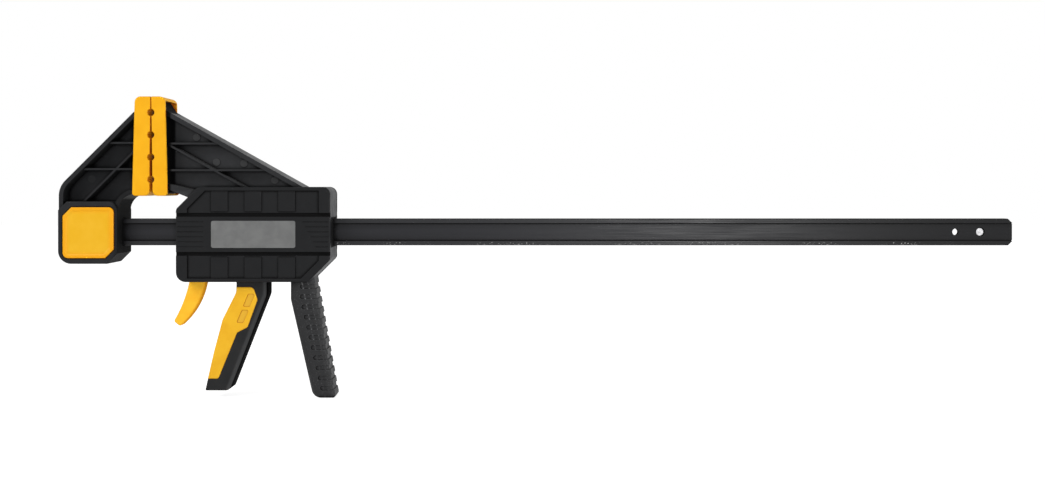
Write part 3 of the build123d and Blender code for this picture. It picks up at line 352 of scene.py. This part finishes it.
def make_drawn_streaks():
    """Long fine streaks along X, as drawing or rolling leaves on steel, with a few scuffs."""
    tree, given, result = start_group(
        "drawn streaks",
        {"Spacing mm": 0.6, "Stretch": 60.0},
        {"Streak": "NodeSocketFloat", "Patch": "NodeSocketFloat", "Scuff": "NodeSocketFloat"},
    )
    place = object_place(tree)
    along = coordinates(tree)
    scale = maths(tree, "DIVIDE", 1 / MM, given["Spacing mm"])
    shortened = maths(tree, "DIVIDE", along["X"], given["Stretch"])
    drawn = put(tree, "ShaderNodeCombineXYZ", {"X": shortened, "Y": along["Y"], "Z": along["Z"]}).outputs[0]
    fine = ramp(tree, noise(tree, place, chip_scale, roughness=0.6), *chip_level)
    where = ramp(tree, noise(tree, place, chip_patch_scale), *chip_patch_level)
    give(tree, result["Streak"], noise(tree, drawn, scale, detail=3.0, roughness=0.6))
    patches = noise(tree, drawn, streak_patch_scale, detail=3.0)
    give(tree, result["Patch"], ramp(tree, patches, *streak_patch_level))
    give(tree, result["Scuff"], both(tree, fine, where))
    return tree


def make_cavities():
    """1 in the open, falling to 0 in narrow grooves, in corners and where two pieces meet, as a mask for
    painted shade.
    """
    tree, given, result = start_group(
        "cavities",
        {"Reach mm": 3.0, "Closed": 0.45, "Open": 0.92},
        {"Open": "NodeSocketFloat"},
    )
    reach = maths(tree, "MULTIPLY", given["Reach mm"], MM)
    found = put(tree, "ShaderNodeAmbientOcclusion", {"Distance": reach}, samples=8).outputs["AO"]
    give(tree, result["Open"], ramp(tree, found, given["Closed"], given["Open"]))
    return tree


grain_group = make_moulded_grain()
edges_group = make_soft_edges()
streaks_group = make_drawn_streaks()
cavities_group = make_cavities()


# ------------------------------------------------------------------ zones

# A zone changes a piece's finish in places. Each takes the tone and how open the surface lies, and
# gives both back, with a mask of where the surface is quite matt.


def no_zone(tree, tone, open_air, grain, edges):
    """One finish all over."""
    return tone, open_air, 0.0


def add_marks(tree, tone, marks, colour):
    """Round ejector marks on the front of a web."""
    place = object_place(tree)
    for x, z in marks:
        point = (x * MM, mark_front * MM, z * MM)
        tone = blend_colour(tree, near_point(tree, place, point, mark_radius), tone, colour)
    return tone


def groove_glint(tree, place, open_air):
    """Two pale glints where each groove of the handle begins, weaker towards the handle's foot."""
    inwards = maths(tree, "ADD", place["X"], maths(tree, "MULTIPLY", place["Z"], handle_lean))
    first = ramp(tree, away_from(tree, inwards, groove_ends), *first_glint)
    second = away_from(tree, inwards, groove_ends + glint_step)
    second = ramp(tree, second, *second_glint, end=second_glint_share)
    closed = maths(tree, "SUBTRACT", 1.0, ramp(tree, open_air, *groove_open))
    upper = ramp(tree, place["Z"], *glint_fades, start=foot_glint_share)
    return both(tree, both(tree, either(tree, first, second), closed), upper)


def frame_zone(tree, tone, open_air, grain, edges):
    """The stippled handle with painted highlights on its edges and grooves, the arm's round marks,
    painted shade on its brim, round the bar and behind the pad, and painted highlights on its upward faces."""
    place = coordinates(tree)
    facing = coordinates(tree, "Normal")

    handle = ramp(tree, place["Z"], *handle_begins)
    glint = groove_glint(tree, place, open_air)
    stipple = blend_colour(tree, grain["Fleck"], handle_grey, handle_pale)
    stipple = blend_colour(tree, glint, stipple, handle_glint)
    # Painted highlight along the handle's edges and the ends of its grooves
    edge_highlight = maths(tree, "MULTIPLY", edges["Edge"], handle_edge_highlight_share)
    stipple = blend_colour(tree, edge_highlight, stipple, handle_edge_highlight)
    tone = blend_colour(tree, handle, tone, stipple)
    open_air = either(tree, open_air, both(tree, handle, glint))

    # Painted shade on the front faces of the arm's brim
    brim = ramp(tree, away_from(tree, place["Y"]), *brim_depth)
    brim = both(tree, brim, ramp(tree, away_from(tree, facing["Y"]), *facing_front))
    brim = both(tree, brim, ramp(tree, place["Z"], *brim_height, end=brim_shade_share))
    tone = blend_colour(tree, brim, tone, plastic_shadow)
    # Painted highlight on faces that look upward
    tone = blend_colour(tree, ramp(tree, facing["Z"], *facing_up), tone, frame_top_highlight)
    tone = add_marks(tree, tone, arm_marks, frame_mark)

    # Painted shade on the housing's side round the bar, in place of its shadowed recess
    aside = both(tree, ramp(tree, facing["X"], *socket_facing), ramp(tree, place["X"], *housing_end))
    socket = both(tree, aside, ramp(tree, away_from(tree, place["Z"]), *socket_height))
    # Painted shade on the strip behind the pad
    tucked = both(tree, ramp(tree, place["X"], *behind_pad), ramp(tree, place["Z"], *above_throat))
    painted_shade = either(tree, socket, tucked)
    return blend_colour(tree, painted_shade, tone, plastic_shadow), open_air, painted_shade


def jaw_zone(tree, tone, open_air, grain, edges):
    """The fixed jaw's round mark, and painted shade on its sides towards the housing and its neck."""
    place = coordinates(tree)
    aside = ramp(tree, coordinates(tree, "Normal")["X"], *jaw_facing)
    neck = both(tree, ramp(tree, place["X"], *neck_side), ramp(tree, place["Z"], *neck_top))
    # Painted shade on the sides towards the housing and on the neck
    shaded = either(tree, aside, maths(tree, "MULTIPLY", neck, neck_shade_share))
    tone = add_marks(tree, tone, jaw_marks, jaw_mark)
    matt = maths(tree, "MULTIPLY", shaded, jaw_side_rough)
    return blend_colour(tree, shaded, tone, jaw_side_shade), open_air, matt


def pad_zone(tree, tone, open_air, grain, edges):
    """Painted shade on a pad's edges, deeper in colour than its faces."""
    edge = maths(tree, "MULTIPLY", edges["Edge"], pad_edge_shade_share)
    return blend_colour(tree, edge, tone, pad_edge_shade), open_air, 0.0


def lever_zone(tree, tone, open_air, grain, edges):
    """A painted highlight on the lever's rounded back edges, and painted shade on its back."""
    facing = coordinates(tree, "Normal")["X"]
    tone = blend_colour(tree, ramp(tree, facing, *lever_edge_facing), tone, lever_edge_highlight)
    # Painted shade on the lever's back
    back = ramp(tree, facing, *lever_back_facing)
    return blend_colour(tree, back, tone, plastic_shadow), open_air, back


def cover_zone(tree, tone, open_air, grain, edges):
    """The fine lines of a cover's band, which get only part of the painted shade, so stay nearly as pale as
    its face.
    """
    place = coordinates(tree)
    lines = ramp(tree, away_from(tree, place["Y"]), *line_floor)
    lines = both(tree, lines, ramp(tree, away_from(tree, place["Z"], band_middle), *band_half))
    return tone, either(tree, open_air, maths(tree, "MULTIPLY", lines, line_share)), 0.0


def button_zone(tree, tone, open_air, grain, edges):
    """A button with painted shade, deeper in colour towards its rim."""
    share = coordinates(tree, "Generated")
    outwards = either(tree, away_from(tree, share["X"], 0.5), away_from(tree, share["Z"], 0.5))
    return blend_colour(tree, ramp(tree, outwards, *rim_share), tone, button_rim_shade), open_air, 0.0


def trigger_zone(tree, tone, open_air, grain, edges):
    """Painted shade on the trigger's back, deeper in colour than its sides, and matt."""
    back = ramp(tree, coordinates(tree, "Normal")["X"], *trigger_facing)
    return blend_colour(tree, back, tone, trigger_back_shade), open_air, back


def grip_zone(tree, tone, open_air, grain, edges):
    """The greyer floors of the grip's dimples, on both sides of the lever."""
    place = coordinates(tree)
    sunk = ramp(tree, away_from(tree, away_from(tree, place["Y"]), dimple_floor), *dimple_near)
    flat = put(tree, "ShaderNodeCombineXYZ", {"X": place["X"], "Z": place["Z"]}).outputs[0]
    for x, z in dimples:
        dimple = both(tree, sunk, near_point(tree, flat, (x * MM, 0.0, z * MM), dimple_radius))
        tone = blend_colour(tree, dimple, tone, grip_dimple)
    return tone, open_air, 0.0


# ------------------------------------------------------------------ materials


def start_material(name):
    """A material with its Principled shader, and nothing else in it yet."""
    made = bpy.data.materials.new(name)
    made.use_nodes = True
    return made, made.node_tree, made.node_tree.nodes["Principled BSDF"]


def add_bump(tree, shader, height, normal, depth_mm, strength):
    """Fine relief on top of the rounded edges."""
    inputs = {"Height": height, "Distance": depth_mm * MM, "Strength": strength, "Normal": normal}
    give(tree, shader.inputs["Normal"], put(tree, "ShaderNodeBump", inputs).outputs["Normal"])


def moulded(
    name, colour, deep, worn, shade, grain_mm, depth_mm, rough, gloss, wear,
    edge_mm=0.4, mottle_mm=14.0, reach_mm=3.0, closed=0.45, clear=0.92, zone=no_zone,
):
    """A moulded plastic or rubber: grain, uneven tone, worn edges and painted shade in cavities."""
    made, tree, shader = start_material(name)
    grain = use_group(tree, grain_group, Grain_mm=grain_mm, Mottle_mm=mottle_mm)
    edges = use_group(tree, edges_group, Radius_mm=edge_mm)
    tone = blend_colour(tree, grain["Mottle"], colour, deep)
    tone = blend_colour(tree, maths(tree, "MULTIPLY", edges["Rubbed"], wear), tone, worn)
    open_air = use_group(tree, cavities_group, Reach_mm=reach_mm, Closed=closed, Open=clear)["Open"]
    tone, open_air, matt = zone(tree, tone, open_air, grain, edges)
    dull = ramp(tree, grain["Mottle"], 0.0, 1.0, rough - rough_spread, rough + rough_spread)
    dull = either(tree, dull, ramp(tree, open_air, 0.0, 1.0, shaded_rough, 0.0))
    # Painted shade in cavities
    give(tree, shader.inputs["Base Color"], blend_colour(tree, open_air, shade, tone))
    give(tree, shader.inputs["Roughness"], either(tree, dull, matt))
    shader.inputs["Specular IOR Level"].default_value = gloss
    add_bump(tree, shader, grain["Height"], edges["Normal"], depth_mm, strength=1.0)
    return made


def painted_bar():
    """Satin black paint on drawn steel: lengthwise streaks, chips along the lower flange, and painted shade.
    """
    made, tree, shader = start_material("satin black bar")
    streaks = use_group(tree, streaks_group, Spacing_mm=0.7, Stretch=80.0)
    edges = use_group(tree, edges_group, Radius_mm=0.35, Patch_mm=7.0)
    open_air = use_group(tree, cavities_group, Reach_mm=7.0, Closed=0.55, Open=0.93)["Open"]
    place = coordinates(tree)
    height = away_from(tree, place["Z"])
    depth = away_from(tree, place["Y"])

    tone = blend_colour(tree, streaks["Patch"], bar_black, bar_streaked)
    tone = blend_colour(tree, ramp(tree, height, *flange_height), tone, bar_flange)
    # Painted shade towards the bar's right end
    tone = blend_colour(tree, ramp(tree, place["X"], *bar_shade_along, end=bar_shade_share), tone, plastic_shadow)
    # Painted shade in the corners where the web meets the flanges
    corner = both(tree, ramp(tree, height, *corner_height), ramp(tree, depth, *corner_depth))
    tone = blend_colour(tree, corner, tone, plastic_shadow)
    brink = both(tree, ramp(tree, place["Z"], *brink_height), ramp(tree, place["X"], *chips_begin))
    chipped = both(tree, either(tree, edges["Rubbed"], brink), streaks["Scuff"])
    tone = blend_colour(tree, chipped, tone, bar_scuffed)

    dull = ramp(tree, streaks["Streak"], *streak_level, *bar_rough)
    dull = either(tree, dull, ramp(tree, open_air, 0.0, 1.0, shaded_rough, 0.0))
    dull = either(tree, dull, ramp(tree, corner, 0.0, 1.0, end=corner_rough))
    # Painted shade near the jaw and the housing, from the cavities mask
    give(tree, shader.inputs["Base Color"], blend_colour(tree, open_air, plastic_shadow, tone))
    give(tree, shader.inputs["Roughness"], dull)
    shader.inputs["Specular IOR Level"].default_value = 0.15
    add_bump(tree, shader, streaks["Streak"], edges["Normal"], depth_mm=0.03, strength=0.6)
    return made


def bare_steel(name, bright, dull, low_rough, high_rough):
    """Plated or oiled steel, with fine streaks and a cloudy tone."""
    made, tree, shader = start_material(name)
    streaks = use_group(tree, streaks_group, Spacing_mm=0.35, Stretch=12.0)
    grain = use_group(tree, grain_group, Grain_mm=0.3, Mottle_mm=3.0)
    edges = use_group(tree, edges_group, Radius_mm=0.2)
    rough = ramp(tree, streaks["Streak"], *streak_level, low_rough, high_rough)
    give(tree, shader.inputs["Base Color"], blend_colour(tree, grain["Mottle"], bright, dull))
    give(tree, shader.inputs["Roughness"], rough)
    shader.inputs["Metallic"].default_value = 1.0
    add_bump(tree, shader, grain["Height"], edges["Normal"], depth_mm=0.01, strength=0.5)
    return made


def label_film():
    """The bare label: matt grey film with a faint lengthwise brush."""
    made, tree, shader = start_material("grey label film")
    streaks = use_group(tree, streaks_group, Spacing_mm=0.25, Stretch=30.0)
    grain = use_group(tree, grain_group, Grain_mm=0.25, Mottle_mm=9.0)
    edges = use_group(tree, edges_group, Radius_mm=0.25)
    brushed = both(tree, grain["Mottle"], ramp(tree, streaks["Streak"], *streak_level, start=least_brush))
    give(tree, shader.inputs["Base Color"], blend_colour(tree, brushed, label_grey, label_pale))
    give(tree, shader.inputs["Roughness"], ramp(tree, grain["Mottle"], 0.0, 1.0, *label_rough))
    shader.inputs["Specular IOR Level"].default_value = 0.4
    add_bump(tree, shader, grain["Height"], edges["Normal"], depth_mm=0.012, strength=0.6)
    return made


frame_plastic = moulded(
    "black frame plastic", frame_black, frame_dark, plastic_worn, plastic_shadow,
    grain_mm=0.55, depth_mm=0.05, rough=0.52, gloss=0.12, wear=0.5, edge_mm=0.6,
    reach_mm=5.0, closed=0.38, clear=0.93, zone=frame_zone,
)
jaw_plastic = moulded(
    "black jaw plastic", jaw_black, jaw_dark, plastic_worn, plastic_shadow,
    grain_mm=0.55, depth_mm=0.05, rough=0.56, gloss=0.06, wear=0.5,
    reach_mm=5.0, closed=0.38, clear=0.93, zone=jaw_zone,
)
cover_plastic = moulded(
    "black cover plastic", cover_black, cover_dark, plastic_worn, plastic_shadow,
    grain_mm=0.40, depth_mm=0.03, rough=0.50, gloss=0.12, wear=0.4,
    closed=0.84, clear=0.995, zone=cover_zone,
)
lever_plastic = moulded(
    "black lever plastic", lever_black, lever_dark, plastic_worn, plastic_shadow,
    grain_mm=0.40, depth_mm=0.03, rough=0.55, gloss=0.05, wear=0.4, zone=lever_zone,
)
pad_rubber = moulded(
    "yellow pad rubber", pad_yellow, pad_deep, pad_worn, orange_shadow,
    grain_mm=0.60, depth_mm=0.03, rough=0.55, gloss=0.16, wear=0.5, edge_mm=0.9, mottle_mm=18.0,
    closed=0.72, clear=0.995, zone=pad_zone,
)
button_plastic = moulded(
    "yellow button plastic", button_yellow, button_pale, button_worn, orange_shadow,
    grain_mm=0.45, depth_mm=0.02, rough=0.46, gloss=0.20, wear=0.5, edge_mm=0.5, mottle_mm=12.0,
    zone=button_zone,
)
trigger_plastic = moulded(
    "yellow trigger plastic", trigger_yellow, trigger_deep, trigger_worn, orange_shadow,
    grain_mm=0.45, depth_mm=0.02, rough=0.46, gloss=0.12, wear=0.5, edge_mm=0.8, mottle_mm=10.0,
    closed=0.15, clear=0.7, zone=trigger_zone,
)
grip_rubber = moulded(
    "yellow grip rubber", grip_yellow, grip_deep, grip_worn, orange_shadow,
    grain_mm=0.35, depth_mm=0.025, rough=0.58, gloss=0.18, wear=0.5, edge_mm=0.5, mottle_mm=16.0,
    zone=grip_zone,
)
zinc = bare_steel("bright zinc", zinc_bright, zinc_dull, 0.22, 0.38)
spring_steel = bare_steel("oiled spring steel", spring_dark, spring_oiled, 0.28, 0.45)

finishes = {
    "bar": painted_bar(),
    "stop_pins": zinc,
    "fixed_jaw": jaw_plastic,
    "fixed_jaw_pad": pad_rubber,
    "jaw_back_cap": cover_plastic,
    "jaw_cap_screws": zinc,
    "button_spring": spring_steel,
    "release_button": button_plastic,
    "latch_plate": zinc,
    "latch_rivets": zinc,
    "head_frame": frame_plastic,
    "front_cover": cover_plastic,
    "rear_cover": cover_plastic,
    "label_plate": label_film(),
    "moving_jaw_pad": pad_rubber,
    "cover_screws": zinc,
    "lever_pivot_pin": zinc,
    "drive_spring": spring_steel,
    "brake_spring": spring_steel,
    "squeeze_lever": lever_plastic,
    "lever_grip": grip_rubber,
    "release_trigger": trigger_plastic,
    "brake_plate": spring_steel,
    "drive_plates": spring_steel,
}

for node_name, finish in finishes.items():
    for material_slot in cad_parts[node_name].material_slots:
        material_slot.material = finish

# ------------------------------------------------------------------ floor, world, lamps and camera


def seen_directly(tree):
    """1 for rays from the camera, from a reflection or through glass, and 0 for light."""
    path = put(tree, "ShaderNodeLightPath").outputs
    seen = either(tree, path["Is Camera Ray"], path["Is Glossy Ray"])
    return either(tree, seen, path["Is Transmission Ray"])


def make_floor():
    """A plain pale floor just under the clamp's lowest point."""
    material, tree, shader = start_material("pale floor")
    shader.inputs["Base Color"].default_value = (floor_shade, floor_shade, floor_shade, 1)
    shader.inputs["Roughness"].default_value = 0.9
    shader.inputs["Specular IOR Level"].default_value = 0.0
    shader.inputs["Emission Color"].default_value = (1, 1, 1, 1)
    give(tree, shader.inputs["Emission Strength"], maths(tree, "MULTIPLY", seen_directly(tree), floor_glow))
    mesh = bpy.data.meshes.new("floor")
    half = floor_size / 2
    height = cad_low.z - floor_drop
    corners = [(x, y, height) for x, y in ((-half, -half), (half, -half), (half, half), (-half, half))]
    mesh.from_pydata(corners, [], [(0, 1, 2, 3)])
    mesh.materials.append(material)
    floor = bpy.data.objects.new("floor", mesh)
    bpy.context.scene.collection.objects.link(floor)


def make_world():
    """White all round to the camera and to reflections, and a soft light to everything else."""
    world = bpy.data.worlds.new("studio")
    world.use_nodes = True
    tree = world.node_tree
    background = tree.nodes["Background"]
    background.inputs["Color"].default_value = (1, 1, 1, 1)
    strength = ramp(tree, seen_directly(tree), 0.0, 1.0, world_strength, wall_white)
    give(tree, background.inputs["Strength"], strength)
    bpy.context.scene.world = world


def make_lamp(name, place, target, size, watts):
    """A rectangular softbox that faces a point."""
    data = bpy.data.lights.new(name, "AREA")
    data.shape = "RECTANGLE"
    data.size, data.size_y = size
    data.energy = watts
    lamp = bpy.data.objects.new(name, data)
    lamp.location = place
    lamp.rotation_euler = (Vector(target) - Vector(place)).to_track_quat("-Z", "Y").to_euler()
    bpy.context.scene.collection.objects.link(lamp)


def make_camera():
    """A level camera in front of the throat, shifted to frame the whole bar."""
    data = bpy.data.cameras.new("camera")
    data.sensor_width = sensor
    data.lens = sensor * -camera_place.y / view_width
    data.shift_x = (image_width / 2 - axis_pixel[0]) / image_width
    data.shift_y = (axis_pixel[1] - image_height / 2) / image_width
    camera = bpy.data.objects.new("camera", data)
    camera.location = camera_place
    camera.rotation_euler = (math.radians(90), 0, 0)
    bpy.context.scene.collection.objects.link(camera)
    bpy.context.scene.camera = camera


make_floor()
make_world()
for lamp_values in lamps:
    make_lamp(*lamp_values)
make_camera()
bpy.context.scene.view_settings.view_transform = "Standard"
